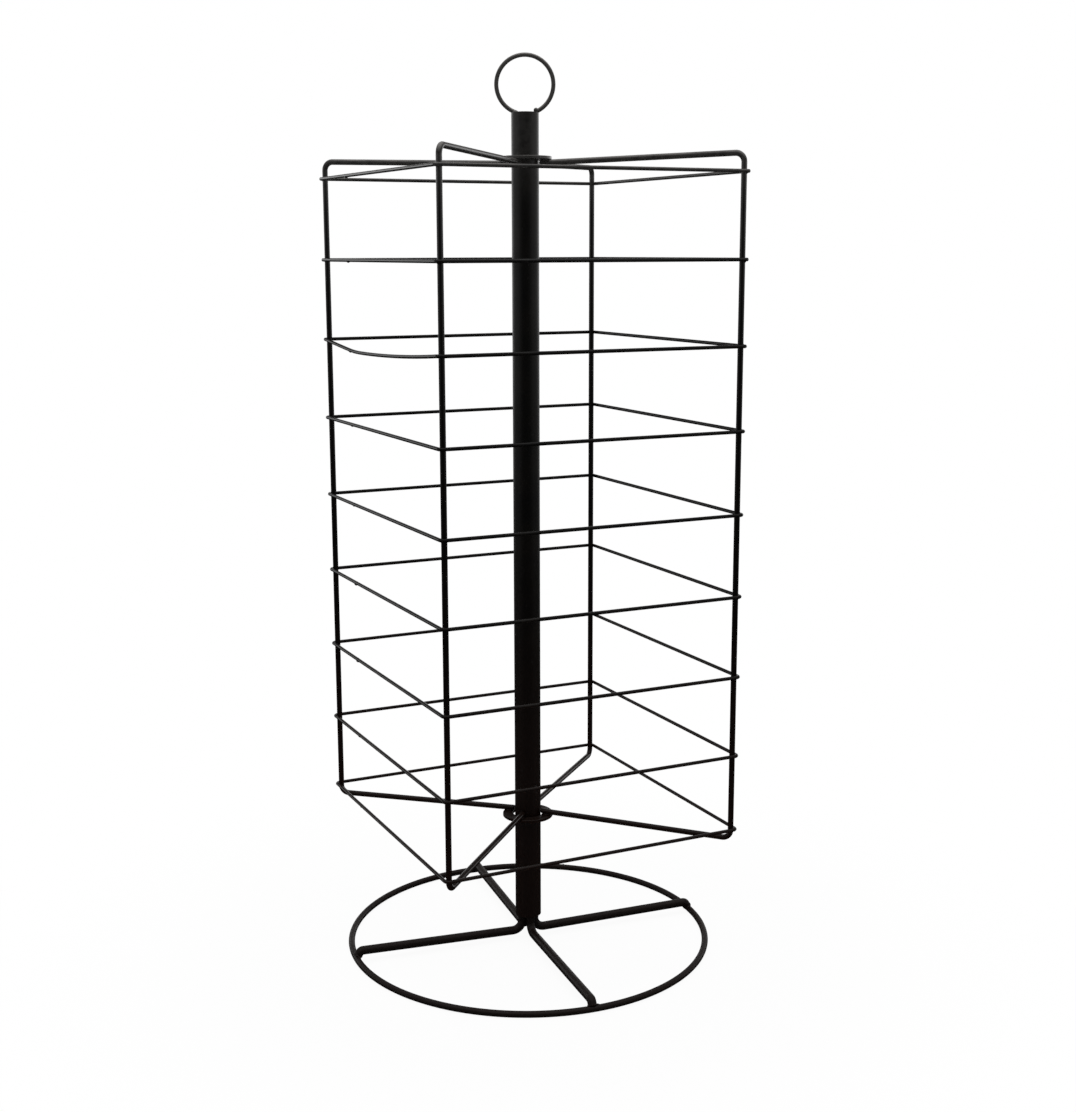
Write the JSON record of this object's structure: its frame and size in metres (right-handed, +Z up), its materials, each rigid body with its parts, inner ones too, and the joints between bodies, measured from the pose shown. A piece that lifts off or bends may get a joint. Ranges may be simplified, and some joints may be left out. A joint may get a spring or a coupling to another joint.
{
  "type": "countertop wire display rack",
  "caption": "Revolving countertop wire rack: a tall basket of stacked square wire rings turns on a tube post, with a loop handle on top and a round wire base.",
  "frame": {"origin": "centre of the base ring on the counter, under the post's axis", "axes": "+Z up along the post; X and Y square to the sides of the basket's rings at rest"},
  "size_m": [0.3704, 0.3704, 0.8798],
  "materials": {
    "black_coat": "satin black powder coat over steel wire and tube",
    "pin_steel": "dark steel pin, coated with the post"
  },
  "bodies": {
    "stand": {"base_ring": "black_coat", "base_leg_1": "black_coat", "base_leg_2": "black_coat", "base_leg_3": "black_coat", "base_leg_4": "black_coat", "post_tube": "black_coat", "handle_loop": "black_coat", "stop_pin": "pin_steel"},
    "basket": {"upright_1": "black_coat", "upright_2": "black_coat", "upright_3": "black_coat", "upright_4": "black_coat", "top_collar": "black_coat", "bottom_collar": "black_coat", "square_ring_1": "black_coat", "square_ring_2": "black_coat", "square_ring_3": "black_coat", "square_ring_4": "black_coat", "square_ring_5": "black_coat", "square_ring_6": "black_coat", "square_ring_7": "black_coat", "square_ring_8": "black_coat", "square_ring_9": "black_coat"}
  },
  "joints": [
    {"name": "basket_spin", "type": "hinge", "parent": "stand", "child": "basket", "pos_m": [0, 0, 0.13262], "axis": [0, 0, 1], "continuous": true}
  ]
}
